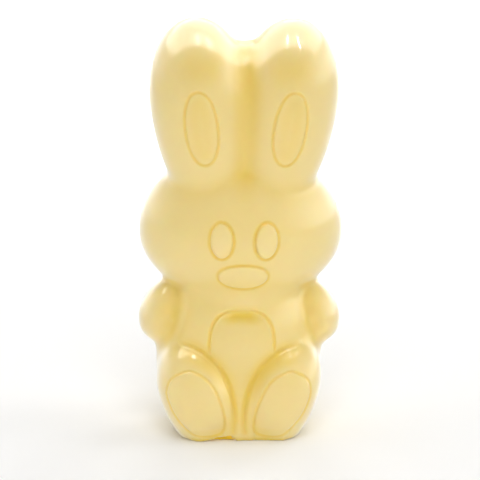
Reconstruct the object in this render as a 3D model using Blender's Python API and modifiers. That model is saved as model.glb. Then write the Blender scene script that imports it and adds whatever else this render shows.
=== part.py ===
"""A moulded white chocolate bunny that sits upright, about 147 mm tall, as one solid piece.

Its front faces -Y and its left and right are the viewer's, along -X and +X. The origin is
on the surface that it stands on, under the middle of its outline. Swelling lumps (ears,
head, body, arms and legs) are joined by one Boolean union and their seams softened, as in
a cast from a two-part mould. The face, ear, belly and sole outlines are then cut as thin grooves.
"""

import math

import bmesh
import bpy
from mathutils import Matrix, Vector
from mathutils.bvhtree import BVHTree

# Driving dimensions, in metres and degrees
MM = 0.001
SIDES = (-1, 1)

# An ear: a long egg, widest high up, that narrows to a blunt lobe on the forehead
EAR_SPREAD = 14.8 * MM
EAR_WIDEST_Z = 119.8 * MM
EAR_HALF_WIDTH = 18.0 * MM
EAR_HALF_DEPTH = 16.0 * MM
EAR_UP = 27.5 * MM
EAR_DOWN = 42.5 * MM
EAR_FORWARD = 5.6 * MM
EAR_SPLAY = 6.8

# The web that joins the ears along the middle
WEB_Z = 118.0 * MM
WEB_HALF_WIDTH = 9.5 * MM
WEB_HALF_DEPTH = 12.6 * MM
WEB_UP = 21.5 * MM
WEB_DOWN = 34.0 * MM

# The head: a wide, flattened egg
HEAD_Z = 71.0 * MM
HEAD_HALF_WIDTH = 35.8 * MM
HEAD_HALF_DEPTH = 23.0 * MM
HEAD_UP = 29.8 * MM
HEAD_DOWN = 25.2 * MM

# The throat: it fills the step between the chin and the chest
THROAT_Z = 50.0 * MM
THROAT_HALF_WIDTH = 24.0 * MM
THROAT_HALF_DEPTH = 19.6 * MM
THROAT_HALF_HEIGHT = 24.0 * MM

# The body: a pear that is widest near the ground
BODY_Z = 31.0 * MM
BODY_HALF_WIDTH = 29.6 * MM
BODY_HALF_DEPTH = 21.8 * MM
BODY_UP = 33.0 * MM
BODY_DOWN = 35.0 * MM
BODY_FULLNESS = 2.2

# The lap: it carries the belly forwards to the foot of the figure
LAP_Z = 10.0 * MM
LAP_FORWARD = 7.0 * MM
LAP_HALF_WIDTH = 16.0 * MM
LAP_HALF_DEPTH = 15.5 * MM
LAP_HALF_HEIGHT = 24.0 * MM
LAP_FULLNESS = 3.0

# An arm: a short stub that hangs outwards from the shoulder
ARM_OUT = 27.0 * MM
ARM_FORWARD = 2.0 * MM
ARM_Z = 40.3 * MM
ARM_HALF_WIDTH = 8.8 * MM
ARM_HALF_DEPTH = 10.5 * MM
ARM_UP = 14.4 * MM
ARM_DOWN = 10.0 * MM
ARM_SPLAY = 22.0

# A leg: a fat egg lying against the body with its sole to the front
LEG_OUT = 13.6 * MM
LEG_FORWARD = 9.8 * MM
LEG_Z = 13.6 * MM
LEG_HALF_WIDTH = 13.1 * MM
LEG_HALF_DEPTH = 16.0 * MM
LEG_UP = 21.8 * MM
LEG_DOWN = 14.8 * MM
LEG_SPLAY = 21.0
LEG_FULLNESS = 2.35
LEG_SECTION = 2.8

# The outlines on the front, each given by its middle (out from the middle plane, up from the
# ground), half width, half height, outward tilt in degrees and fullness
EAR_OVAL = (15.0 * MM, 110.9 * MM, 5.5 * MM, 12.9 * MM, 7.9, 2.15)
EYE = (7.7 * MM, 72.3 * MM, 4.15 * MM, 6.5 * MM, 1.3, 2.0)
NOSE = (0.0, 59.1 * MM, 8.8 * MM, 4.5 * MM, 0.0, 2.25)
BELLY = (0.0, 32.7 * MM, 11.3 * MM, 14.0 * MM, 0.0, 2.9)
CREASE = (21.6 * MM, 8.4 * MM, 20.0 * MM, 25.5 * MM, 0.0, 2.05)
CREASE_FOOT_Z = 3.4 * MM

# The sole, as corners (out from the middle plane, up from the ground, in mm) that a smooth loop
# joins. The soles and leg creases sit a little to the viewer's left of the figure's middle.
SOLE = ((18.3, 25.9), (14.2, 24.9), (10.6, 22.3), (7.7, 17.3), (5.8, 11.8), (5.1, 6.0), (6.2, 2.8),
        (10.3, 1.7), (15.2, 2.7), (19.5, 7.1), (22.8, 12.3), (24.6, 18.4), (23.2, 23.3))
FEET_ASIDE = -0.5 * MM
LOOP_STEPS = 2

# How the lines are cut, how far the eyes and nose rise, and how far the belly patch sinks
BELLY_FOOT_Z = 31.0 * MM
GROOVE_RADIUS = 0.55 * MM
GROOVE_STEP = 2.2 * MM
EYE_RISE = 1.0 * MM
NOSE_RISE = 1.1 * MM
BELLY_DIP = 1.0 * MM
BELLY_EDGE = 0.12
FACES_FRONT = 0.2

# The chip broken out of the foot of the front, as a profile seen from the front
CHIP_PROFILE = ((-13.0, -1.0), (-12.6, 0.3), (-10.6, 0.7), (-8.5, 1.5), (-7.4, 1.7), (-5.9, 1.5),
                (-4.6, 2.0), (-3.4, 2.3), (-2.4, 1.6), (-1.3, 0.1), (-1.2, -1.0))
CHIP_FRONT_Y = -24.0 * MM
CHIP_DEPTH = 5.6 * MM

# The figure stands a little askew, leaning to the viewer's right, on the foot that is cut level
LEAN = 1.05

# Surface
LUMP_SEGMENTS = 48
LUMP_RINGS = 32
POLE = 1e-5
SEAM_VOXEL = 1.0 * MM
SEAM_SMOOTHING = 40
KEPT_FACES = 0.085
CHOCOLATE = (0.89, 0.74, 0.40, 1.0)
GLOSS_ROUGHNESS = 0.32
SHARP_EDGE = 35.0

# Construction
FRONT = Vector((0, -1, 0))
FAR_FRONT = -100.0 * MM
FLOOR_BLOCK = 200.0 * MM
FULL_TURN = 2 * math.pi
WELD = 0.01 * MM


def clear_scene():
    for old in list(bpy.data.objects):
        bpy.data.objects.remove(old)


def new_collection(name):
    collection = bpy.data.collections.new(name)
    bpy.context.scene.collection.children.link(collection)
    return collection


def roundness(x, y, fullness):
    """How far out a point on the unit circle moves when the circle is swollen towards a square."""
    return (abs(x) ** fullness + abs(y) ** fullness) ** (-1 / fullness)


def egg(name, place, half_width, half_depth, up, down, splay=0.0, fullness=2.0, section=2.0):
    """An egg-shaped lump, with its own heights above and below its widest level."""
    mesh = bpy.data.meshes.new(name)
    bm = bmesh.new()
    bmesh.ops.create_uvsphere(bm, u_segments=LUMP_SEGMENTS, v_segments=LUMP_RINGS, radius=1.0)
    for vert in bm.verts:
        level = max(-1.0, min(1.0, vert.co.z))
        ring = math.hypot(vert.co.x, vert.co.y)
        if ring > POLE:
            across, along = vert.co.x / ring, vert.co.y / ring
            grown = (1 - abs(level) ** fullness) ** (1 / fullness) * roundness(across, along, section)
            vert.co.x = across * grown * half_width
            vert.co.y = along * grown * half_depth
        vert.co.z = level * (up if level > 0 else down)
    turn = Matrix.Rotation(math.radians(splay), 4, "Y")
    bmesh.ops.transform(bm, matrix=Matrix.Translation(place) @ turn, verts=bm.verts)
    bm.to_mesh(mesh)
    bm.free()
    return bpy.data.objects.new(name, mesh)


def lumps():
    """Every lump of the figure, before they are joined."""
    found = [
        egg("head", (0, 0, HEAD_Z), HEAD_HALF_WIDTH, HEAD_HALF_DEPTH, HEAD_UP, HEAD_DOWN),
        egg("web", (0, -EAR_FORWARD, WEB_Z), WEB_HALF_WIDTH, WEB_HALF_DEPTH, WEB_UP, WEB_DOWN),
        egg("throat", (0, 0, THROAT_Z), THROAT_HALF_WIDTH, THROAT_HALF_DEPTH, THROAT_HALF_HEIGHT,
            THROAT_HALF_HEIGHT),
        egg("body", (0, 0, BODY_Z), BODY_HALF_WIDTH, BODY_HALF_DEPTH, BODY_UP, BODY_DOWN,
            fullness=BODY_FULLNESS),
        egg("lap", (0, -LAP_FORWARD, LAP_Z), LAP_HALF_WIDTH, LAP_HALF_DEPTH, LAP_HALF_HEIGHT,
            LAP_HALF_HEIGHT, fullness=LAP_FULLNESS),
    ]
    for side in SIDES:
        found.append(egg("ear", (side * EAR_SPREAD, -EAR_FORWARD, EAR_WIDEST_Z), EAR_HALF_WIDTH,
                         EAR_HALF_DEPTH, EAR_UP, EAR_DOWN, side * EAR_SPLAY))
        found.append(egg("arm", (side * ARM_OUT, -ARM_FORWARD, ARM_Z), ARM_HALF_WIDTH,
                         ARM_HALF_DEPTH, ARM_UP, ARM_DOWN, -side * ARM_SPLAY))
        found.append(egg("leg", (side * LEG_OUT, -LEG_FORWARD, LEG_Z), LEG_HALF_WIDTH,
                         LEG_HALF_DEPTH, LEG_UP, LEG_DOWN, side * LEG_SPLAY, LEG_FULLNESS, LEG_SECTION))
    return found


def apply_modifiers(obj):
    """The object's evaluated mesh takes the place of its own, and its modifiers go."""
    graph = bpy.context.evaluated_depsgraph_get()
    done = bpy.data.meshes.new_from_object(obj.evaluated_get(graph))
    obj.modifiers.clear()
    obj.data = done


def joined(name, pieces, collection):
    """One object from overlapping lumps, by one Boolean union on their collection."""
    others = new_collection("lumps")
    for piece in pieces[1:]:
        others.objects.link(piece)
    whole = pieces[0]
    whole.name = name
    collection.objects.link(whole)
    union = whole.modifiers.new("join", "BOOLEAN")
    union.operation = "UNION"
    union.operand_type = "COLLECTION"
    union.collection = others
    union.solver = "EXACT"
    apply_modifiers(whole)
    for piece in pieces[1:]:
        bpy.data.objects.remove(piece)
    bpy.data.collections.remove(others)
    return whole


def soften(whole):
    """The seams between the lumps run into each other, as in a cast."""
    remesh = whole.modifiers.new("skin", "REMESH")
    remesh.mode = "VOXEL"
    remesh.voxel_size = SEAM_VOXEL
    smooth = whole.modifiers.new("soften", "SMOOTH")
    smooth.factor = 0.5
    smooth.iterations = SEAM_SMOOTHING
    apply_modifiers(whole)


def oval_point(outline, angle, side=1):
    """The place (x, z) of one point of an outline, mirrored to its side."""
    out, up, half_width, half_height, tilt, fullness = outline
    across = math.cos(angle)
    along = math.sin(angle)
    reach = roundness(across, along, fullness)
    flat_x = across * reach * half_width
    flat_z = along * reach * half_height
    turn = math.radians(tilt)
    x = out + flat_x * math.cos(turn) + flat_z * math.sin(turn)
    z = up - flat_x * math.sin(turn) + flat_z * math.cos(turn)
    return side * x, z


def oval_share(outline, x, z, side=1):
    """How far (x, z) lies out from an outline's middle, as a share that is 1 on the outline."""
    out, up, half_width, half_height, tilt, fullness = outline
    turn = math.radians(tilt)
    from_x = side * x - out
    from_z = z - up
    flat_x = (from_x * math.cos(turn) - from_z * math.sin(turn)) / half_width
    flat_z = (from_x * math.sin(turn) + from_z * math.cos(turn)) / half_height
    return (abs(flat_x) ** fullness + abs(flat_z) ** fullness) ** (1 / fullness)


def outline_points(outline, side=1, start=0.0, end=FULL_TURN):
    """Points along an outline about GROOVE_STEP apart, from one angle to another."""
    mean_radius = (outline[2] + outline[3]) / 2
    count = round((end - start) * mean_radius / GROOVE_STEP)
    steps = count if end - start == FULL_TURN else count + 1
    return [oval_point(outline, start + (end - start) * i / count, side) for i in range(steps)]


def loop_points(corners, side):
    """Points along a smooth closed loop through corners in mm, mirrored to its side."""
    points = []
    count = len(corners)
    for i in range(count):
        before, start, end, after = (Vector(corners[(i + k) % count]) for k in (-1, 0, 1, 2))
        for step in range(LOOP_STEPS):
            t = step / LOOP_STEPS
            square = 2 * before - 5 * start + 4 * end - after
            cube = 3 * start - before - 3 * end + after
            place = start + ((end - before) * t + square * t**2 + cube * t**3) / 2
            points.append((side * place.x * MM, place.y * MM))
    return points


def moved_aside(points):
    """The points of a line on the feet, moved with them."""
    return [(x + FEET_ASIDE, z) for x, z in points]


def press(bunny, outline, side, rise, from_edge):
    """The surface inside an outline swells out, or sinks where rise is negative."""
    for vert in bunny.data.vertices:
        if vert.normal.dot(FRONT) < FACES_FRONT:
            continue
        share = oval_share(outline, vert.co.x, vert.co.z, side)
        if share < 1:
            vert.co += FRONT * rise * from_edge(share, vert.co.z)


def model_face(bunny):
    """Domed eyes and nose, and the belly patch sunk under the chest at its top."""
    for side in SIDES:
        press(bunny, EYE, side, EYE_RISE, lambda share, z: math.sqrt(1 - share * share))
    press(bunny, NOSE, 1, NOSE_RISE, lambda share, z: math.sqrt(1 - share * share))
    press(bunny, BELLY, 1, -BELLY_DIP, belly_dip)


def belly_dip(share, z):
    """The belly patch is deepest just under the top of its outline and fades out downwards."""
    from_middle = max(0.0, (z - BELLY[1]) / BELLY[3])
    return from_middle * min(1.0, (1 - share) / BELLY_EDGE)


def closed_mesh(curve):
    """A curve's evaluated mesh, its doubled points merged and its faces turned outwards."""
    guide = bpy.data.objects.new(curve.name, curve)
    bpy.context.scene.collection.objects.link(guide)
    graph = bpy.context.evaluated_depsgraph_get()
    mesh = bpy.data.meshes.new_from_object(guide.evaluated_get(graph))
    bpy.data.objects.remove(guide)
    bm = bmesh.new()
    bm.from_mesh(mesh)
    bmesh.ops.remove_doubles(bm, verts=bm.verts, dist=WELD)
    bmesh.ops.recalc_face_normals(bm, faces=bm.faces)
    bm.to_mesh(mesh)
    bm.free()
    return mesh


def groove(name, points, surface, closed, cutters):
    """A round-bottomed cutter laid along the front of the figure."""
    curve = bpy.data.curves.new(name, "CURVE")
    curve.dimensions = "3D"
    curve.bevel_depth = GROOVE_RADIUS
    curve.bevel_resolution = 1
    curve.use_fill_caps = True
    spline = curve.splines.new("POLY")
    spline.points.add(len(points) - 1)
    spline.use_cyclic_u = closed
    for point, (x, z) in zip(spline.points, points):
        hit = surface.ray_cast(Vector((x, FAR_FRONT, z)), -FRONT)[0]
        point.co = (*hit, 1)
    cutters.objects.link(bpy.data.objects.new(name, closed_mesh(curve)))


def engrave(bunny, cutters):
    """Cutters for every thin line of the front."""
    graph = bpy.context.evaluated_depsgraph_get()
    surface = BVHTree.FromObject(bunny, graph)
    crease_foot = math.pi + math.asin((CREASE[1] - CREASE_FOOT_Z) / CREASE[3])
    belly_foot = math.asin((BELLY_FOOT_Z - BELLY[1]) / BELLY[3])
    for side in SIDES:
        groove("ear_line", outline_points(EAR_OVAL, side), surface, True, cutters)
        groove("eye_line", outline_points(EYE, side), surface, True, cutters)
        groove("sole_line", moved_aside(loop_points(SOLE, side)), surface, True, cutters)
        crease = outline_points(CREASE, side, math.pi / 2, crease_foot)
        groove("leg_line", moved_aside(crease), surface, False, cutters)
    groove("nose_line", outline_points(NOSE), surface, True, cutters)
    groove("belly_line", outline_points(BELLY, 1, belly_foot, math.pi - belly_foot), surface, False, cutters)


def floor_cutter(cutters):
    """Everything under the ground, which leaves the figure its flat foot."""
    mesh = bpy.data.meshes.new("floor")
    bm = bmesh.new()
    under_ground = Matrix.Translation((0, 0, -FLOOR_BLOCK / 2))
    bmesh.ops.create_cube(bm, size=FLOOR_BLOCK, matrix=under_ground)
    bm.to_mesh(mesh)
    bm.free()
    cutters.objects.link(bpy.data.objects.new("floor", mesh))


def chip_cutter(cutters):
    """The piece that has broken out of the edge of one foot."""
    curve = bpy.data.curves.new("chip", "CURVE")
    curve.dimensions = "2D"
    curve.fill_mode = "BOTH"
    curve.extrude = CHIP_DEPTH / 2
    spline = curve.splines.new("POLY")
    spline.points.add(len(CHIP_PROFILE) - 1)
    spline.use_cyclic_u = True
    for point, (x, z) in zip(spline.points, CHIP_PROFILE):
        point.co = (x * MM, z * MM, 0, 1)
    mesh = closed_mesh(curve)
    upright = Matrix.Rotation(math.pi / 2, 4, "X")
    mesh.transform(Matrix.Translation((0, CHIP_FRONT_Y + CHIP_DEPTH / 2, 0)) @ upright)
    cutters.objects.link(bpy.data.objects.new("chip", mesh))


def cut(bunny, name, cutters):
    """Takes every cutter of a collection out of the figure."""
    for cutter in cutters.objects:
        cutter.hide_render = True
        cutter.display_type = "WIRE"
    modifier = bunny.modifiers.new(name, "BOOLEAN")
    modifier.operation = "DIFFERENCE"
    modifier.operand_type = "COLLECTION"
    modifier.collection = cutters
    modifier.solver = "EXACT"


def drop_scraps(bunny):
    """Crumbs that crossing cuts have freed are removed, and the figure itself stays."""
    bm = bmesh.new()
    bm.from_mesh(bunny.data)
    waiting = set(bm.faces)
    islands = []
    while waiting:
        island = set()
        edge = [waiting.pop()]
        while edge:
            face = edge.pop()
            island.add(face)
            near = {other for side in face.edges for other in side.link_faces} & waiting
            waiting -= near
            edge.extend(near)
        islands.append(island)
    figure = max(islands, key=len)
    scraps = [face for island in islands if island is not figure for face in island]
    bmesh.ops.delete(bm, geom=scraps, context="FACES")
    bm.to_mesh(bunny.data)
    bm.free()


def centre_on_ground(bunny):
    """The origin comes under the middle of the figure's outline, on the ground."""
    for axis in (0, 1):
        reach = [vert.co[axis] for vert in bunny.data.vertices]
        to_middle = Vector((0, 0, 0))
        to_middle[axis] = -(min(reach) + max(reach)) / 2
        bunny.data.transform(Matrix.Translation(to_middle))


def white_chocolate():
    material = bpy.data.materials.new("white_chocolate")
    material.use_nodes = True
    shader = material.node_tree.nodes["Principled BSDF"]
    shader.inputs["Base Color"].default_value = CHOCOLATE
    shader.inputs["Roughness"].default_value = GLOSS_ROUGHNESS
    shader.inputs["Metallic"].default_value = 0.0
    return material


def main():
    clear_scene()
    part = new_collection("chocolate_bunny")
    bunny = joined("chocolate_bunny", lumps(), part)
    soften(bunny)
    model_face(bunny)
    thin = bunny.modifiers.new("fewer faces", "DECIMATE")
    thin.ratio = KEPT_FACES
    apply_modifiers(bunny)

    lines = new_collection("line_cutters")
    engrave(bunny, lines)
    cut(bunny, "lines", lines)
    apply_modifiers(bunny)
    bunny.data.transform(Matrix.Rotation(math.radians(LEAN), 4, "Y"))

    ground = new_collection("ground_cutters")
    floor_cutter(ground)
    chip_cutter(ground)
    cut(bunny, "base", ground)
    apply_modifiers(bunny)
    drop_scraps(bunny)

    centre_on_ground(bunny)
    bunny.data.materials.append(white_chocolate())
    bunny.data.shade_smooth()
    bunny.data.set_sharp_from_angle(angle=math.radians(SHARP_EDGE))


main()
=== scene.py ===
"""A moulded white chocolate bunny on a pale floor in soft studio light."""

import math

import bmesh
import bpy
import numpy as np
from mathutils import Matrix, Vector, noise
from mathutils.bvhtree import BVHTree
from mathutils.kdtree import KDTree


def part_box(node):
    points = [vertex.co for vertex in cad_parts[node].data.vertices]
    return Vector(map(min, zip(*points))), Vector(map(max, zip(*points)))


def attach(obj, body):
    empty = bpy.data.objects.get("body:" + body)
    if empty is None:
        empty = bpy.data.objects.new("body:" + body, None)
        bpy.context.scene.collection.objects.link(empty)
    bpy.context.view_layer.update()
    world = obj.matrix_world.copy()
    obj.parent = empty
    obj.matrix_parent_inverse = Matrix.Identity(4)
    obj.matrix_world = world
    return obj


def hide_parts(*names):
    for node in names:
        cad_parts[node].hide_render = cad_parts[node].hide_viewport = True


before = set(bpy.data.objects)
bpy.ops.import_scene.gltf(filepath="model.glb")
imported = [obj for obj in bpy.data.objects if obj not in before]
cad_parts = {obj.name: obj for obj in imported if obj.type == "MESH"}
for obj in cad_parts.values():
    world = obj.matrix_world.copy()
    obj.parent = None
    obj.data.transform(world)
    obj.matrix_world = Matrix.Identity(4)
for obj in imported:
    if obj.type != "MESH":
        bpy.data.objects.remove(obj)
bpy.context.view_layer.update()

# The ears
# Two long eggs that lean apart and run into each other along the middle, where a shallow web
# fills the crease between them. They are part of the one casting of white chocolate, poured
# into a two-part mould.
MM = 0.001
SIDES = (-1, 1)
EGG_SEGMENTS = 72
EGG_RINGS = 48
POLE = 1e-5

EAR_SPREAD = 14.8 * MM
EAR_FORWARD = 5.6 * MM
EAR_WIDEST_Z = 119.8 * MM
EAR_HALF_WIDTH = 18.0 * MM
EAR_HALF_DEPTH = 16.0 * MM
EAR_UP = 27.5 * MM
EAR_DOWN = 42.5 * MM
EAR_SPLAY = 6.8

WEB_Z = 118.0 * MM
WEB_HALF_WIDTH = 9.5 * MM
WEB_HALF_DEPTH = 12.6 * MM
WEB_UP = 21.5 * MM
WEB_DOWN = 34.0 * MM


def roundness(x, y, fullness):
    """How far out a point on the unit circle moves when the circle is swollen towards a square."""
    return (abs(x) ** fullness + abs(y) ** fullness) ** (-1 / fullness)


def egg(figure, place, half_width, half_depth, up, down, splay=0.0, fullness=2.0, section=2.0):
    """Adds an egg-shaped lump to the figure, with its own heights above and below its widest level."""
    made = bmesh.ops.create_uvsphere(figure, u_segments=EGG_SEGMENTS, v_segments=EGG_RINGS, radius=1.0)
    for vert in made["verts"]:
        level = max(-1.0, min(1.0, vert.co.z))
        ring = math.hypot(vert.co.x, vert.co.y)
        if ring > POLE:
            across, along = vert.co.x / ring, vert.co.y / ring
            grown = (1 - abs(level) ** fullness) ** (1 / fullness) * roundness(across, along, section)
            vert.co.x = across * grown * half_width
            vert.co.y = along * grown * half_depth
        vert.co.z = level * (up if level > 0 else down)
    turn = Matrix.Rotation(math.radians(splay), 4, "Y")
    bmesh.ops.transform(figure, matrix=Matrix.Translation(place) @ turn, verts=made["verts"])


figure = bmesh.new()
for side in SIDES:
    egg(figure, (side * EAR_SPREAD, -EAR_FORWARD, EAR_WIDEST_Z), EAR_HALF_WIDTH, EAR_HALF_DEPTH,
        EAR_UP, EAR_DOWN, side * EAR_SPLAY)
egg(figure, (0, -EAR_FORWARD, WEB_Z), WEB_HALF_WIDTH, WEB_HALF_DEPTH, WEB_UP, WEB_DOWN)

# The head
# A wide egg, flattened from front to back, and the throat that fills the step between the chin
# and the chest. Both are lumps of the same casting.
HEAD_Z = 71.0 * MM
HEAD_HALF_WIDTH = 35.8 * MM
HEAD_HALF_DEPTH = 23.0 * MM
HEAD_UP = 29.8 * MM
HEAD_DOWN = 25.2 * MM

THROAT_Z = 50.0 * MM
THROAT_HALF_WIDTH = 24.0 * MM
THROAT_HALF_DEPTH = 19.6 * MM
THROAT_HALF_HEIGHT = 24.0 * MM

egg(figure, (0, 0, HEAD_Z), HEAD_HALF_WIDTH, HEAD_HALF_DEPTH, HEAD_UP, HEAD_DOWN)
egg(figure, (0, 0, THROAT_Z), THROAT_HALF_WIDTH, THROAT_HALF_DEPTH, THROAT_HALF_HEIGHT, THROAT_HALF_HEIGHT)

# The body
# A pear that is widest near the ground, and a lap that carries the belly forwards to the foot
# of the figure. The mould's foot is open, so the body ends in a flat cut.
BODY_Z = 31.0 * MM
BODY_HALF_WIDTH = 29.6 * MM
BODY_HALF_DEPTH = 21.8 * MM
BODY_UP = 33.0 * MM
BODY_DOWN = 35.0 * MM
BODY_FULLNESS = 2.2

LAP_Z = 10.0 * MM
LAP_FORWARD = 7.0 * MM
LAP_HALF_WIDTH = 16.0 * MM
LAP_HALF_DEPTH = 15.5 * MM
LAP_HALF_HEIGHT = 24.0 * MM
LAP_FULLNESS = 3.0

egg(figure, (0, 0, BODY_Z), BODY_HALF_WIDTH, BODY_HALF_DEPTH, BODY_UP, BODY_DOWN, fullness=BODY_FULLNESS)
egg(figure, (0, -LAP_FORWARD, LAP_Z), LAP_HALF_WIDTH, LAP_HALF_DEPTH, LAP_HALF_HEIGHT, LAP_HALF_HEIGHT,
    fullness=LAP_FULLNESS)

# The arms
# Two short stubs that hang outwards from the shoulders. They are lumps of the same casting, with
# nothing to tell paws or fingers.
ARM_OUT = 27.0 * MM
ARM_FORWARD = 2.0 * MM
ARM_Z = 40.3 * MM
ARM_HALF_WIDTH = 8.8 * MM
ARM_HALF_DEPTH = 10.5 * MM
ARM_UP = 14.4 * MM
ARM_DOWN = 10.0 * MM
ARM_SPLAY = 22.0

for side in SIDES:
    egg(figure, (side * ARM_OUT, -ARM_FORWARD, ARM_Z), ARM_HALF_WIDTH, ARM_HALF_DEPTH, ARM_UP,
        ARM_DOWN, -side * ARM_SPLAY)

# The legs
# Two fat, squarish eggs that lie against the body with their soles to the front. They are lumps
# of the same casting too.
LEG_OUT = 13.6 * MM
LEG_FORWARD = 9.8 * MM
LEG_Z = 13.6 * MM
LEG_HALF_WIDTH = 13.1 * MM
LEG_HALF_DEPTH = 16.0 * MM
LEG_UP = 21.8 * MM
LEG_DOWN = 14.8 * MM
LEG_SPLAY = 21.0
LEG_FULLNESS = 2.35
LEG_SECTION = 2.8

for side in SIDES:
    egg(figure, (side * LEG_OUT, -LEG_FORWARD, LEG_Z), LEG_HALF_WIDTH, LEG_HALF_DEPTH, LEG_UP,
        LEG_DOWN, side * LEG_SPLAY, LEG_FULLNESS, LEG_SECTION)

# The casting
# The lumps run into one body with soft seams, as chocolate takes them from the mould. One skin
# of small squares is drawn over them all and smoothed.
SKIN_VOXEL = 0.9 * MM
SKIN_SMOOTHING = 49
SMOOTH_SHARE = 0.5


def applied(piece):
    """The piece's evaluated mesh takes the place of its own, and its modifiers go."""
    graph = bpy.context.evaluated_depsgraph_get()
    done = bpy.data.meshes.new_from_object(piece.evaluated_get(graph))
    piece.modifiers.clear()
    piece.data = done


bunny = bpy.data.objects.new("moulded_bunny", bpy.data.meshes.new("moulded_bunny"))
bpy.context.scene.collection.objects.link(bunny)
figure.to_mesh(bunny.data)
figure.free()
skin = bunny.modifiers.new("skin", "REMESH")
skin.mode = "VOXEL"
skin.voxel_size = SKIN_VOXEL
soften = bunny.modifiers.new("soften", "SMOOTH")
soften.factor = SMOOTH_SHARE
soften.iterations = SKIN_SMOOTHING
applied(bunny)

# The eyes, the nose and the belly patch
# The eyes and the nose are low domes, and the belly patch sinks under the chest at its top. They
# are forms of the mould, so they are pressed out of the same skin.
EYE_RISE = 1.0 * MM
NOSE_RISE = 1.1 * MM
BELLY_DIP = 1.0 * MM
BELLY_EDGE = 0.12
FACES_FRONT = 0.2
FRONT = Vector((0, -1, 0))

# An outline is a rounded oval: its middle out from the middle plane and up from the ground, half
# width, half height, outward tilt in degrees and fullness.
EYE = (7.7 * MM, 72.3 * MM, 4.15 * MM, 6.5 * MM, 1.3, 2.0)
NOSE = (0.0, 59.1 * MM, 8.8 * MM, 4.5 * MM, 0.0, 2.25)
BELLY = (0.0, 32.7 * MM, 11.3 * MM, 14.0 * MM, 0.0, 2.9)


def oval_share(outline, x, z, side):
    """How far (x, z) lies out from an outline's middle, as a share that is 1 on the outline."""
    out, up, half_width, half_height, tilt, fullness = outline
    turn = math.radians(tilt)
    from_x = side * x - out
    from_z = z - up
    flat_x = (from_x * math.cos(turn) - from_z * math.sin(turn)) / half_width
    flat_z = (from_x * math.sin(turn) + from_z * math.cos(turn)) / half_height
    return (abs(flat_x) ** fullness + abs(flat_z) ** fullness) ** (1 / fullness)


def press(outline, side, rise, from_edge):
    """The surface inside an outline swells out, or sinks where rise is negative."""
    normals = [vert.normal.copy() for vert in bunny.data.vertices]
    for vert, normal in zip(bunny.data.vertices, normals):
        if normal.dot(FRONT) > FACES_FRONT:
            share = oval_share(outline, vert.co.x, vert.co.z, side)
            if share < 1:
                vert.co += FRONT * rise * from_edge(share, vert.co.z)


def dome(share, z):
    """A dome is the same height all round its middle."""
    return math.sqrt(1 - share * share)


def belly_dip(share, z):
    """The belly patch is deepest just under the top of its outline and fades out downwards."""
    from_middle = max(0.0, (z - BELLY[1]) / BELLY[3])
    return from_middle * min(1.0, (1 - share) / BELLY_EDGE)


for side in SIDES:
    press(EYE, side, EYE_RISE, dome)
press(NOSE, 1, NOSE_RISE, dome)
press(BELLY, 1, -BELLY_DIP, belly_dip)

# The painted shade in the hollows
# The colour is painted deeper amber in the hollows as painted shade, for the light that goes round
# between the walls there, and paler on what stands out. How far each point lies under a much
# smoother skin is kept as an attribute.
HOLLOW_SMOOTHING = 160
HOLLOW_DEPTH = 1.0 * MM
relaxed = bpy.data.objects.new("relaxed", bunny.data.copy())
bpy.context.scene.collection.objects.link(relaxed)
relax = relaxed.modifiers.new("relax", "SMOOTH")
relax.factor = SMOOTH_SHARE
relax.iterations = HOLLOW_SMOOTHING
applied(relaxed)
painted_hollow_shade = bunny.data.attributes.new("painted_hollow_shade", "FLOAT", "POINT")
for vert, smooth_vert, value in zip(bunny.data.vertices, relaxed.data.vertices, painted_hollow_shade.data):
    value.value = (smooth_vert.co - vert.co).dot(vert.normal) / HOLLOW_DEPTH
bpy.data.objects.remove(relaxed)

# The engraved lines
# Thin ribs in the mould leave a line round each inner ear, eye, sole and the nose, an arch over
# the belly and a deep crease over each leg. Soft furrows part the ears from each other and the
# arms from the chest.
EAR_OVAL = (15.0 * MM, 110.9 * MM, 5.5 * MM, 12.9 * MM, 7.9, 2.15)
CREASE = (21.6 * MM, 8.4 * MM, 20.0 * MM, 25.5 * MM, 0.0, 2.05)
CREASE_FOOT_Z = 3.4 * MM
BELLY_FOOT_Z = 30.2 * MM
FEET_ASIDE = -0.5 * MM

# A smooth loop or furrow through corners: out from the middle plane and up from the ground, in mm.
SOLE = ((18.3, 25.9), (14.2, 24.9), (10.6, 22.3), (7.7, 17.3), (5.8, 11.8), (5.1, 6.0), (6.2, 2.8),
        (10.3, 1.7), (15.2, 2.7), (19.5, 7.1), (22.8, 12.3), (24.6, 18.4), (23.2, 23.3))
EAR_CREASE = ((0.2, 138.5), (0.6, 130.0), (0.8, 120.0), (0.6, 108.0), (0.3, 97.0), (0.0, 90.0), (0.0, 84.5))
ARM_FURROW = ((19.8, 58.0), (20.0, 54.7), (21.0, 51.3), (21.7, 48.3), (22.4, 45.0), (23.2, 42.2),
              (24.1, 39.9), (25.9, 37.4), (28.0, 35.2))

# Soft painted shade lies beside the lines, in the ears' inner fields and in a band under the ears' tips.
EAR_FIELD = (EAR_OVAL[0], EAR_OVAL[1], 1.5 * MM, 9.0 * MM, EAR_OVAL[4], 2.0)
EAR_SHADE = ((7.0, 130.5), (12.0, 131.6), (18.0, 131.0), (24.0, 127.5))
BELLY_SHADE_ANGLE = 0.9
BELLY_SHADE_DOWN = 1.6 * MM
THIGH_SHADE_DOWN = 2.2 * MM
THIGH_SHADE_END = 2.9
ARM_SHADE_OUT = 2.5 * MM

LOOP_STEPS = 10
LINE_STEP = 0.5 * MM
FULL_TURN = 2 * math.pi
FAR_FRONT = -0.1
NEAR_LINE = 1.3 * MM
NEAR_LINE_SMOOTHING = 6


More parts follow.
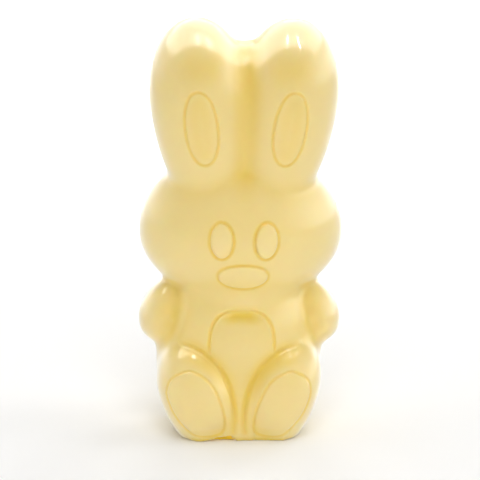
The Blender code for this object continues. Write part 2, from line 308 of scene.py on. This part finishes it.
def oval_point(outline, angle, side):
    """The place (x, z) of one point of an outline, mirrored to its side."""
    out, up, half_width, half_height, tilt, fullness = outline
    across = math.cos(angle)
    along = math.sin(angle)
    reach = roundness(across, along, fullness)
    flat_x = across * reach * half_width
    flat_z = along * reach * half_height
    turn = math.radians(tilt)
    x = out + flat_x * math.cos(turn) + flat_z * math.sin(turn)
    z = up - flat_x * math.sin(turn) + flat_z * math.cos(turn)
    return side * x, z


def oval_points(outline, side=1, start=0.0, end=FULL_TURN):
    """Points along an outline about LINE_STEP apart, from one angle to another."""
    count = round((end - start) * max(outline[2], outline[3]) / LINE_STEP)
    return [oval_point(outline, start + (end - start) * step / count, side) for step in range(count + 1)]


def loop_points(corners, side, closed=True):
    """Points along a smooth loop or an open curve through corners in mm, mirrored to its side."""
    points = []
    count = len(corners)
    for i in range(count if closed else count - 1):
        around = [i + k if closed else min(max(i + k, 0), count - 1) for k in (-1, 0, 1, 2)]
        before, start, end, after = (Vector(corners[place % count]) for place in around)
        for step in range(LOOP_STEPS):
            t = step / LOOP_STEPS
            square = 2 * before - 5 * start + 4 * end - after
            cube = 3 * start - before - 3 * end + after
            place = start + ((end - before) * t + square * t**2 + cube * t**3) / 2
            points.append((side * place.x * MM, place.y * MM))
    return points + points[:1] if closed else points


def laid_on_front(points, aside=0.0):
    """Points (x, z) laid on the front of the figure, moved aside first."""
    return [surface.ray_cast(Vector((x + aside, FAR_FRONT, z)), -FRONT)[0] for x, z in points]


surface = BVHTree.FromObject(bunny, bpy.context.evaluated_depsgraph_get())
crease_foot = math.pi + math.asin((CREASE[1] - CREASE_FOOT_Z) / CREASE[3])
belly_foot = math.asin((BELLY_FOOT_Z - BELLY[1]) / BELLY[3])
creases = [oval_points(CREASE, side, math.pi / 2, crease_foot) for side in SIDES]
furrows = [loop_points(ARM_FURROW, side, closed=False) for side in SIDES]
ear_lines = [laid_on_front(oval_points(EAR_OVAL, side)) for side in SIDES]
eye_lines = [laid_on_front(oval_points(EYE, side)) for side in SIDES]
nose_lines = [laid_on_front(oval_points(NOSE))]
belly_lines = [laid_on_front(oval_points(BELLY, 1, belly_foot, math.pi - belly_foot))]
sole_lines = [laid_on_front(loop_points(SOLE, side), FEET_ASIDE) for side in SIDES]
leg_lines = [laid_on_front(crease, FEET_ASIDE) for crease in creases]
arm_lines = [laid_on_front(furrow) for furrow in furrows]
crease_lines = [laid_on_front(loop_points(EAR_CREASE, 1, closed=False))]

ear_shades = [laid_on_front(loop_points(EAR_SHADE, side, closed=False)) for side in SIDES]
field_shades = [laid_on_front(oval_points(EAR_FIELD, side)) for side in SIDES]
arm_shades = [laid_on_front(furrow, side * ARM_SHADE_OUT) for furrow, side in zip(furrows, SIDES)]
arch = oval_points(BELLY, 1, BELLY_SHADE_ANGLE, math.pi - BELLY_SHADE_ANGLE)
arch_shades = [laid_on_front([(x, z - BELLY_SHADE_DOWN) for x, z in arch])]
thigh_tops = [oval_points(CREASE, side, math.pi / 2, THIGH_SHADE_END) for side in SIDES]
thigh_shades = [laid_on_front([(x, z - THIGH_SHADE_DOWN) for x, z in top], FEET_ASIDE)
                for top in thigh_tops]

thin_lines = ear_lines + sole_lines + belly_lines + eye_lines + nose_lines + leg_lines
thin_points = [point for line in thin_lines for point in line]
line_tree = KDTree(len(thin_points))
for index, point in enumerate(thin_points):
    line_tree.insert(point, index)
line_tree.balance()
bm = bmesh.new()
bm.from_mesh(bunny.data)
for reach in (NEAR_LINE + SKIN_VOXEL, NEAR_LINE):
    near = [edge for edge in bm.edges
            if line_tree.find((edge.verts[0].co + edge.verts[1].co) / 2)[2] < reach]
    bmesh.ops.subdivide_edges(bm, edges=near, cuts=1, use_grid_fill=True)
close = [vert for vert in bm.verts if line_tree.find(vert.co)[2] < NEAR_LINE]
for _ in range(NEAR_LINE_SMOOTHING):
    bmesh.ops.smooth_vert(bm, verts=close, factor=SMOOTH_SHARE, use_axis_x=True, use_axis_y=True,
                          use_axis_z=True)
bm.to_mesh(bunny.data)
bm.free()

ENGRAVING_INPUTS = {"Geometry": "Geometry", "Lines": "Object", "Line Width": "Float",
                    "Line Depth": "Float", "Painted Shade Width": "Float", "Painted Shade": "Float",
                    "Chocolate": "Material"}
EVEN = ((0, 1), (1, 1))


class Wire:
    """A socket in a node tree, or the tree alone. Sums on a socket add Math nodes to the tree."""

    def __init__(self, tree, value=None):
        self.tree = tree
        self.value = value

    def node(self, kind, settings, inputs):
        """A new node of a type, with its settings and the values or links of its sockets."""
        made = self.tree.nodes.new(kind)
        for key, value in settings.items():
            setattr(made, key, value)
        for key, value in inputs.items():
            plain = value.value if isinstance(value, Wire) else value
            if isinstance(plain, bpy.types.NodeSocket):
                self.tree.links.new(plain, made.inputs[key])
            else:
                made.inputs[key].default_value = plain
        return made

    def out(self, kind, settings, inputs, output=0):
        """One output of a new node."""
        return Wire(self.tree, self.node(kind, settings, inputs).outputs[output])

    def math(self, operation, other):
        """What a Math node makes of this socket and another value."""
        return self.out("ShaderNodeMath", {"operation": operation}, {0: self, 1: other})

    def __add__(self, other):
        return self.math("ADD", other)

    def __mul__(self, other):
        return self.math("MULTIPLY", other)

    __radd__ = __add__
    __rmul__ = __mul__


def engraving_tree():
    """Sinks the surface along a set of lines, with a soft round-bottomed section, and paints shade on it.
    """
    tree = bpy.data.node_groups.new("engraving", "GeometryNodeTree")
    for name, kind in ENGRAVING_INPUTS.items():
        tree.interface.new_socket(name, in_out="INPUT", socket_type="NodeSocket" + kind)
    tree.interface.new_socket("Geometry", in_out="OUTPUT", socket_type="NodeSocketGeometry")
    given = tree.nodes.new("NodeGroupInput").outputs
    made = Wire(tree)
    lines = made.out("GeometryNodeObjectInfo", {"transform_space": "ORIGINAL"},
                     {"Object": given["Lines"]}, "Geometry")
    distance = made.out("GeometryNodeProximity", {"target_element": "EDGES"}, {"Geometry": lines},
                        "Distance")
    nearest = made.out("GeometryNodeSampleNearest", {"domain": "POINT"}, {"Geometry": lines}, "Index")
    along = made.out("GeometryNodeInputNamedAttribute", {"data_type": "FLOAT"}, {"Name": "strength"},
                     "Attribute")
    strength = made.out("GeometryNodeSampleIndex", {"data_type": "FLOAT", "domain": "POINT"},
                        {"Geometry": lines, "Value": along, "Index": nearest})

    def fall(width, peak):
        """From a peak on the line smoothly down to nothing at a width from it."""
        return made.out("ShaderNodeMapRange", {"interpolation_type": "SMOOTHSTEP"},
                        {"Value": distance, "From Min": 0.0, "From Max": given[width],
                         "To Min": given[peak], "To Max": 0.0}, "Result")

    depth = fall("Line Width", "Line Depth") * strength
    normal = made.out("GeometryNodeInputNormal", {}, {})
    offset = made.out("ShaderNodeVectorMath", {"operation": "SCALE"}, {0: normal, "Scale": depth * -1.0})
    sunk = made.out("GeometryNodeSetPosition", {}, {"Geometry": given["Geometry"], "Offset": offset})
    painted_shade = fall("Painted Shade Width", "Painted Shade") * strength
    # The "line" attribute keeps the deepest painted shade that any pass gives.
    had = made.out("GeometryNodeInputNamedAttribute", {"data_type": "FLOAT"}, {"Name": "line"}, "Attribute")
    shade_stored = made.out("GeometryNodeStoreNamedAttribute", {"data_type": "FLOAT", "domain": "POINT"},
                       {"Geometry": sunk, "Name": "line", "Value": painted_shade.math("MAXIMUM", had)})
    real = made.out("GeometryNodeRealizeInstances", {}, {"Geometry": shade_stored})
    coated = made.out("GeometryNodeSetMaterial", {}, {"Geometry": real, "Material": given["Chocolate"]})
    tree.links.new(coated.value, tree.nodes.new("NodeGroupOutput").inputs[0])
    return tree


chocolate = bpy.data.materials.new("white_chocolate")
engraving = engraving_tree()
socket_names = {item.name: item.identifier for item in engraving.interface.items_tree
                if item.in_out == "INPUT"}


def line_object(name, lines, swell):
    """Lines of points as one mesh of edges, which the engraving follows as strongly as swell says."""
    points = []
    edges = []
    strengths = []
    for line in lines:
        edges += [(len(points) + i, len(points) + i + 1) for i in range(len(line) - 1)]
        points += line
        strengths += [float(np.interp(i / (len(line) - 1), *swell)) for i in range(len(line))]
    mesh = bpy.data.meshes.new(name)
    mesh.from_pydata(points, edges, [])
    mesh.attributes.new("strength", "FLOAT", "POINT").data.foreach_set("value", strengths)
    return bpy.data.objects.new(name, mesh)


def engrave(name, lines, width, depth, painted_shade_width, painted_shade, swell=EVEN):
    """One pass along a set of lines, its sizes in mm; swell is shares of a line's length and strengths."""
    guide = line_object(name, lines, swell)
    bpy.context.scene.collection.objects.link(guide)
    bunny.modifiers.clear()
    graver = bunny.modifiers.new(name, "NODES")
    graver.node_group = engraving
    graver[socket_names["Lines"]] = guide
    graver[socket_names["Line Width"]] = width * MM
    graver[socket_names["Line Depth"]] = depth * MM
    graver[socket_names["Painted Shade Width"]] = painted_shade_width * MM
    graver[socket_names["Painted Shade"]] = painted_shade
    graver[socket_names["Chocolate"]] = chocolate
    applied(bunny)
    bpy.data.objects.remove(guide)


# Each pass also paints amber shade along its lines: the deeper colour in grooves, furrows and beside them
# is painted shade.
engrave("ear_crease", crease_lines, width=4.6, depth=1.0, painted_shade_width=6.5, painted_shade=0.48,
        swell=((0, 0.1, 0.3, 0.6, 0.85, 1), (1, 0.9, 0.9, 0.55, 0.5, 0.1)))
engrave("arm_furrows", arm_lines, width=5.0, depth=0.8, painted_shade_width=8.5, painted_shade=0.36,
        swell=((0, 0.3, 0.55, 0.85, 1), (0, 0.5, 1, 1, 0)))
engrave("ear_shades", ear_shades, width=5.0, depth=0.1, painted_shade_width=9.5, painted_shade=0.3,
        swell=((0, 0.3, 0.7, 1), (0, 1, 1, 0)))
engrave("field_shades", field_shades, width=4.0, depth=0.05, painted_shade_width=5.5, painted_shade=0.28)
engrave("arm_shades", arm_shades, width=5.0, depth=0.15, painted_shade_width=9.0, painted_shade=0.3,
        swell=((0, 0.25, 0.6, 0.9, 1), (0, 0.6, 1, 0.6, 0)))
engrave("thigh_shades", thigh_shades, width=4.0, depth=0.3, painted_shade_width=5.5, painted_shade=0.5,
        swell=((0, 0.2, 0.6, 1), (0.3, 1, 0.9, 0)))
engrave("leg_hollows", leg_lines, width=3.4, depth=0.5, painted_shade_width=3.8, painted_shade=0.42,
        swell=((0, 0.16, 0.4, 0.75), (0, 0.9, 1, 0)))
engrave("arch_shades", arch_shades, width=3.2, depth=0.45, painted_shade_width=4.4, painted_shade=0.68,
        swell=((0, 0.3, 0.7, 1), (0, 1, 1, 0)))
engrave("ear_lines", ear_lines, width=0.8, depth=0.34, painted_shade_width=1.0, painted_shade=0.75)
engrave("sole_lines", sole_lines, width=0.8, depth=0.34, painted_shade_width=1.0, painted_shade=0.65)
engrave("belly_line", belly_lines, width=0.9, depth=0.45, painted_shade_width=1.1, painted_shade=0.95)
engrave("eye_lines", eye_lines, width=0.85, depth=0.46, painted_shade_width=1.1, painted_shade=0.9)
engrave("nose_line", nose_lines, width=0.85, depth=0.24, painted_shade_width=1.0, painted_shade=0.62)
engrave("leg_lines", leg_lines, width=1.25, depth=0.8, painted_shade_width=2.1, painted_shade=1.0,
        swell=((0, 0.2, 0.5, 0.8, 1), (0, 1, 1, 0.7, 0.45)))

# The flat foot
# The figure leans a little to the viewer's right. The open foot of the mould leaves a flat cut, to
# which the sides flare out, the left one from further up, and the soles come down almost upright.
# The rim is rubbed smooth on a plate, and amber is painted on it as a glow of light through the edge.
LEAN = 1.05
FLARE = 1.6 * MM
FLARE_HEIGHT = 6.0 * MM
FLARE_REACH = (8.0 * MM, 18.0 * MM)
LEFT_SWELL = 0.9 * MM
LEFT_SWELL_FADE = (18.0 * MM, 26.0 * MM)
SOLE_Z = 4.5 * MM
SOLE_LEFT_OVER = 0.2
SOLE_REACH = (15.0 * MM, 23.0 * MM)
SOLE_BACK_Y = -8.0 * MM
RIM_RADIUS = 0.4 * MM
PAINTED_RIM_GLOW = 2.4 * MM

bunny.data.transform(Matrix.Rotation(math.radians(LEAN), 4, "Y"))
for vert in bunny.data.vertices:
    share = float(np.interp(abs(vert.co.x), FLARE_REACH, (0, 1)))
    low_down = 1 - min(max(vert.co.z, 0.0), FLARE_HEIGHT) / FLARE_HEIGHT
    vert.co.x += math.copysign(share * FLARE * low_down**2, vert.co.x)
    if vert.co.x < 0:
        vert.co.x -= share * LEFT_SWELL * float(np.interp(vert.co.z, LEFT_SWELL_FADE, (1, 0)))
bunny.data.update()

# Under SOLE_Z the front keeps most of the depth that it has there, less so towards the sides.
leaned = BVHTree.FromObject(bunny, bpy.context.evaluated_depsgraph_get())
for vert in bunny.data.vertices:
    if -SOLE_Z < vert.co.z < SOLE_Z and vert.co.y < SOLE_BACK_Y:
        above = leaned.ray_cast(Vector((vert.co.x, FAR_FRONT, SOLE_Z)), -FRONT)[0]
        if above is not None and vert.co.y > above.y:
            share = float(np.interp(abs(vert.co.x), SOLE_REACH, (1, 0)))
            vert.co.y += (above.y - vert.co.y) * (1 - SOLE_LEFT_OVER) * share
bunny.data.update()

# All that lies below the ground is cut away, and the cut is closed. Its rim is rounded, and an amber
# glow of light through the edge is painted on it.
bm = bmesh.new()
bm.from_mesh(bunny.data)
everything = bm.verts[:] + bm.edges[:] + bm.faces[:]
cut = bmesh.ops.bisect_plane(bm, geom=everything, plane_co=(0, 0, 0), plane_no=(0, 0, 1), clear_inner=True)
rim = [item for item in cut["geom_cut"] if isinstance(item, bmesh.types.BMEdge)]
bmesh.ops.edgeloop_fill(bm, edges=rim)
painted_shade_and_glow_layer = bm.verts.layers.float["line"]
for vert in bm.verts:
    if vert.co.z < RIM_RADIUS:
        inwards = RIM_RADIUS - math.sqrt(max(0.0, RIM_RADIUS**2 - (RIM_RADIUS - vert.co.z) ** 2))
        flat = Vector((vert.normal.x, vert.normal.y, 0))
        if flat.length > POLE:
            vert.co -= flat.normalized() * inwards
    # Painted glow: the colour turns amber towards the ground, as if light came through the edge.
    if vert.co.z < PAINTED_RIM_GLOW:
        vert[painted_shade_and_glow_layer] = max(vert[painted_shade_and_glow_layer], (1 - vert.co.z / PAINTED_RIM_GLOW) ** 2)
bm.to_mesh(bunny.data)
bm.free()

# The chip
# A shallow flake has broken out of the foot's front edge. The break is painted amber, and its faint
# glow is painted light through the thin wall there. It is grainy inside, and its upper edge is jagged.
CHIP_DEPTH = 1.2 * MM
CHIP_LIP = 0.5 * MM
CHIP_MARGIN = 1.0 * MM
CHIP_GRAIN = 1.6 * MM
CHIP_ROUGHNESS = 0.3 * MM
CHIP_BACK_Y = -12.0 * MM
CHIP_CUTS = 2

# The corners of its upper edge: x and the height above the ground, in mm.
CHIP_EDGE = ((-13.0, 0.0), (-12.4, 0.4), (-10.6, 0.7), (-8.5, 1.5), (-7.4, 1.7), (-5.9, 1.5),
             (-4.6, 2.0), (-3.4, 2.3), (-2.4, 1.6), (-1.2, 0.0))
edge_x = [x * MM for x, height in CHIP_EDGE]
edge_z = [height * MM for x, height in CHIP_EDGE]
chip_left, chip_right = edge_x[0], edge_x[-1]


def beside_chip(place):
    """Whether a place lies in the chip or close round it."""
    return (chip_left - CHIP_MARGIN < place.x < chip_right + CHIP_MARGIN and place.y < CHIP_BACK_Y
            and 0 <= place.z < max(edge_z) + CHIP_MARGIN)


bm = bmesh.new()
bm.from_mesh(bunny.data)
for _ in range(CHIP_CUTS):
    near = [edge for edge in bm.edges if beside_chip(edge.verts[0].co) and beside_chip(edge.verts[1].co)]
    bmesh.ops.subdivide_edges(bm, edges=near, cuts=1, use_grid_fill=True)
painted_shade_and_glow_layer = bm.verts.layers.float["line"]
painted_break_glow_layer = bm.verts.layers.float.new("painted_break_glow")
for vert in bm.verts:
    if beside_chip(vert.co):
        under_edge = np.interp(vert.co.x, edge_x, edge_z, 0.0, 0.0) - vert.co.z
        if under_edge > 0 and chip_left < vert.co.x < chip_right:
            step = min(1.0, under_edge / CHIP_LIP)
            grain = noise.noise(vert.co / CHIP_GRAIN) * CHIP_ROUGHNESS
            vert.co.y += step * (CHIP_DEPTH + grain)
            # The break is painted amber and given a painted glow.
            vert[painted_shade_and_glow_layer] = max(vert[painted_shade_and_glow_layer], step)
            vert[painted_break_glow_layer] = step
bm.to_mesh(bunny.data)
bm.free()

# Its place
# The figure stands on the ground where its solid stands, with the middle of its outline over the
# solid's middle.
places = np.array([vert.co for vert in bunny.data.vertices])
middle = (places.min(0) + places.max(0)) / 2
low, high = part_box("chocolate_bunny")
to_place = (low + high) / 2 - Vector(middle)
to_place.z = 0.0
bunny.data.transform(Matrix.Translation(to_place))
bunny.data.shade_smooth()

# The chocolate
# White chocolate: milky and a little see-through at its surface, pale yellow. Painted amber shade
# deepens it in the lines, furrows and hollows, a painted amber glow lies on the foot's rim and in the
# break, and the break also has a faint painted glow as emission.
PALE = (0.852, 0.695, 0.318, 1.0)
PAINTED_AMBER = (0.8, 0.54, 0.02, 1.0)
PAINTED_GLOW = (1.0, 0.42, 0.0, 1.0)
DARK = (0.0, 0.0, 0.0, 1.0)
PLAIN_DEPTH = 0.2
PAINTED_HOLLOW_SHADE_GAIN = 0.22
WAVE_SCALE = 1 / (14.0 * MM)
WAVE_DETAIL = 1.0
WAVE_HEIGHT = 0.3 * MM
FINISH = {"Roughness": 0.28, "Specular IOR Level": 0.28, "IOR": 1.46, "Coat Weight": 0.4,
          "Coat Roughness": 0.09, "Sheen Weight": 1.0, "Sheen Roughness": 0.4, "Subsurface Weight": 0.6,
          "Subsurface Radius": (1.0, 0.7, 0.3), "Subsurface Scale": 3.0 * MM, "Emission Strength": 0.07}

chocolate.use_nodes = True
shader = chocolate.node_tree.nodes["Principled BSDF"]
shade = Wire(chocolate.node_tree)


def kept(name):
    """A value that the mesh keeps at its points."""
    return shade.out("ShaderNodeAttribute", {"attribute_name": name}, {}, "Fac")


def blended(share, first, second):
    """One colour running into another; a Mix node has its colours at these sockets."""
    return shade.out("ShaderNodeMix", {"data_type": "RGBA"}, {0: share, 6: first, 7: second}, 2)


# Painted shade and glow: the colour goes from pale towards amber by the hollows and the "line" attribute.
tone_and_painted_shade = PLAIN_DEPTH + kept("painted_hollow_shade") * PAINTED_HOLLOW_SHADE_GAIN + kept("line") * (1 - PLAIN_DEPTH)
where = shade.out("ShaderNodeTexCoord", {}, {}, "Object")
waves = shade.out("ShaderNodeTexNoise", {}, {"Vector": where, "Scale": WAVE_SCALE, "Detail": WAVE_DETAIL})
uneven = shade.out("ShaderNodeBump", {}, {"Height": waves, "Distance": WAVE_HEIGHT})
chocolate.node_tree.links.new(blended(tone_and_painted_shade, PALE, PAINTED_AMBER).value, shader.inputs["Base Color"])
# The break's painted glow is an emission with no lamp behind it.
chocolate.node_tree.links.new(blended(kept("painted_break_glow"), DARK, PAINTED_GLOW).value, shader.inputs["Emission Color"])
chocolate.node_tree.links.new(uneven.value, shader.inputs["Normal"])
for name, value in FINISH.items():
    shader.inputs[name].default_value = value

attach(bunny, "root")
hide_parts("chocolate_bunny")

# The floor
# A plain white table top without a sheen, which runs out of sight behind the figure. It isn't part
# of the bunny.
FLOOR_SIZE = 8.0
FLOOR_SQUARES = 8
FLOOR_WHITE = (0.93, 0.93, 0.93, 1.0)
FLOOR_ROUGHNESS = 0.5
floor_mesh = bpy.data.meshes.new("floor")
bm = bmesh.new()
bmesh.ops.create_grid(bm, x_segments=FLOOR_SQUARES, y_segments=FLOOR_SQUARES, size=FLOOR_SIZE / 2)
bm.to_mesh(floor_mesh)
bm.free()
floor = bpy.data.objects.new("floor", floor_mesh)
bpy.context.scene.collection.objects.link(floor)
white = bpy.data.materials.new("white_table")
white.use_nodes = True
table = white.node_tree.nodes["Principled BSDF"]
table.inputs["Base Color"].default_value = FLOOR_WHITE
table.inputs["Roughness"].default_value = FLOOR_ROUGHNESS
table.inputs["Specular IOR Level"].default_value = 0.0
floor.data.materials.append(white)

# The room
# A white room that lights everything faintly. On the chocolate its walls also shine, brightest to
# the right and behind, and they fade towards the ground, overhead and behind the camera.
ROOM_RADIANCE = 0.15
WALL_RADIANCE = 5.6
WALL_RADIANCE_TO_RIGHT = 1.5
WALL_FADE_TO_FRONT = (-0.85, 0.05)
WALL_FRONT_TO_RIGHT = 0.35
WALL_FADE_DOWN = (-0.3, 0.3)
WALL_FADE_UP = (0.85, -0.2)
world = bpy.data.worlds.new("studio")
bpy.context.scene.world = world
world.use_nodes = True
background = world.node_tree.nodes["Background"]
room = Wire(world.node_tree)


def faded(value, nothing, full):
    """Rises smoothly from 0 to 1 between two values."""
    return room.out("ShaderNodeMapRange", {"interpolation_type": "SMOOTHSTEP"},
                    {"Value": value, "From Min": nothing, "From Max": full}, "Result")


sight = room.out("ShaderNodeTexCoord", {}, {}, "Generated")
ways = room.node("ShaderNodeSeparateXYZ", {}, {0: sight})
rightwards, backwards, upwards = (Wire(world.node_tree, way) for way in ways.outputs)
walls = faded(backwards + rightwards * WALL_FRONT_TO_RIGHT, *WALL_FADE_TO_FRONT)
walls = walls * (rightwards * WALL_RADIANCE_TO_RIGHT + WALL_RADIANCE)
walls = walls * faded(upwards, *WALL_FADE_DOWN) * faded(upwards, *WALL_FADE_UP)
shine = room.out("ShaderNodeLightPath", {}, {}, "Is Glossy Ray") * walls
world.node_tree.links.new((shine + ROOM_RADIANCE).value, background.inputs["Strength"])
background.inputs["Color"].default_value = (1, 1, 1, 1)

# The lights
# Soft boxes stand in a ring round the figure, with a few small ones close to it. They give light
# without a reflection. A panel over the ears and two thin lamps before them only reflect in them.
RING_RADIUS = 1.0
RING_MIDDLE = Vector((0, 0, 70.0 * MM))
RING_BOX = (0.5, 0.5)
SMALL_BOX = (0.2, 0.2)
LAMP = (0.004, 0.06)
LAMP_RADIANCE = 105.0
BACKDROP_SPREAD = 90


def way_out(azimuth, elevation):
    """The way from the figure at an azimuth round from its front and an elevation, in degrees."""
    round_it = math.radians(azimuth)
    upwards_by = math.radians(elevation)
    return Vector((math.sin(round_it) * math.cos(upwards_by), -math.cos(round_it) * math.cos(upwards_by),
                   math.sin(upwards_by)))


def soft_box(name, direction, size, radiance, shine=False):
    """A box in the ring, given by its azimuth and elevation, that lights or only shines."""
    outwards = way_out(*direction)
    light = bpy.data.lights.new(name, "AREA")
    light.shape = "ELLIPSE"
    light.size, light.size_y = size
    # The power is the radiance times pi times the area of an ellipse of this size.
    light.energy = radiance * math.pi**2 / 4 * size[0] * size[1]
    box = bpy.data.objects.new(name, light)
    box.location = RING_MIDDLE + outwards * RING_RADIUS
    box.rotation_euler = outwards.to_track_quat("Z", "Y").to_euler()
    box.visible_diffuse = not shine
    box.visible_glossy = shine
    box.visible_camera = False
    bpy.context.scene.collection.objects.link(box)
    return box


def near_box(name, place, aim, size, radiance, shine=False):
    """A soft box close to the figure, given by its place and the point it faces."""
    box = soft_box(name, (0, 0), size, radiance, shine)
    box.location = place
    box.rotation_euler = (Vector(place) - Vector(aim)).to_track_quat("Z", "Y").to_euler()
    return box


for name, direction, radiance in (("top", (0, 90), 1.4), ("high_front", (0, 60), 5.0),
                                  ("high_right", (90, 60), 1.6), ("right", (90, 28), 2.2),
                                  ("back_right", (135, 28), 4.3), ("back", (180, 28), 4.8),
                                  ("back_left", (225, 28), 2.4), ("left", (270, 28), 1.0)):
    soft_box(name, direction, RING_BOX, radiance)
near_box("near_top_left", (-0.25, 0.05, 0.35), (0, 0, 0.12), SMALL_BOX, 0.6)
near_box("near_left", (-0.35, 0.05, 0.12), (0, 0, 0.08), SMALL_BOX, 1.3)
near_box("near_face", (0.05, -0.35, 0.12), (0, 0, 0.07), (0.1, 0.1), 5.4)
near_box("near_low", (0, -0.3, 0.04), (0, 0, 0.03), (0.25, 0.06), 5.2)
overhead = near_box("overhead_shine", (-0.005, -0.005, 0.18), (-0.005, -0.005, 0), (0.21, 0.09), 10.0,
                    shine=True)
overhead.data.shape = "RECTANGLE"
near_box("left_lamp", (-0.011, -0.075, 0.262), (-0.011, 0, 0.12), LAMP, LAMP_RADIANCE, shine=True)
near_box("right_lamp", (0.048, -0.077, 0.242), (0, 0, 0.12), LAMP, LAMP_RADIANCE, shine=True)

# One more box hangs behind the figure and turns the table top there a plain white.
backdrop = near_box("backdrop", (0, 1.6, 0.9), (0, 1.6, 0), (2.6, 1.4), 7.0)
backdrop.data.spread = math.radians(BACKDROP_SPREAD)

# The camera
# It stands in front, a little to the left and above, and looks down at the figure, which fills the
# height of the picture.
AZIMUTH = -3.0
ELEVATION = 15.0
DISTANCE = 0.8
SENSOR = 36.0

# The photo's scale and side, and the pixel of it that shows a point on the figure's axis.
METRES_A_PIXEL = 0.35 * MM
PHOTO_SIDE = 480
PHOTO_POINT = Vector((0, 0, 74.0 * MM))
PHOTO_PIXEL = (240.0, 221.4)

back = way_out(AZIMUTH, ELEVATION)
right = Vector((math.cos(math.radians(AZIMUTH)), math.sin(math.radians(AZIMUTH)), 0))
up = back.cross(right)
aim = (PHOTO_POINT + right * (PHOTO_SIDE / 2 - PHOTO_PIXEL[0]) * METRES_A_PIXEL
       - up * (PHOTO_SIDE / 2 - PHOTO_PIXEL[1]) * METRES_A_PIXEL)
lens = bpy.data.cameras.new("camera")
lens.sensor_width = SENSOR
lens.lens = SENSOR * DISTANCE / (PHOTO_SIDE * METRES_A_PIXEL)
camera = bpy.data.objects.new("camera", lens)
camera.location = aim + back * DISTANCE
camera.rotation_euler = back.to_track_quat("Z", "Y").to_euler()
bpy.context.scene.collection.objects.link(camera)
bpy.context.scene.camera = camera
bpy.context.scene.view_settings.view_transform = "Standard"
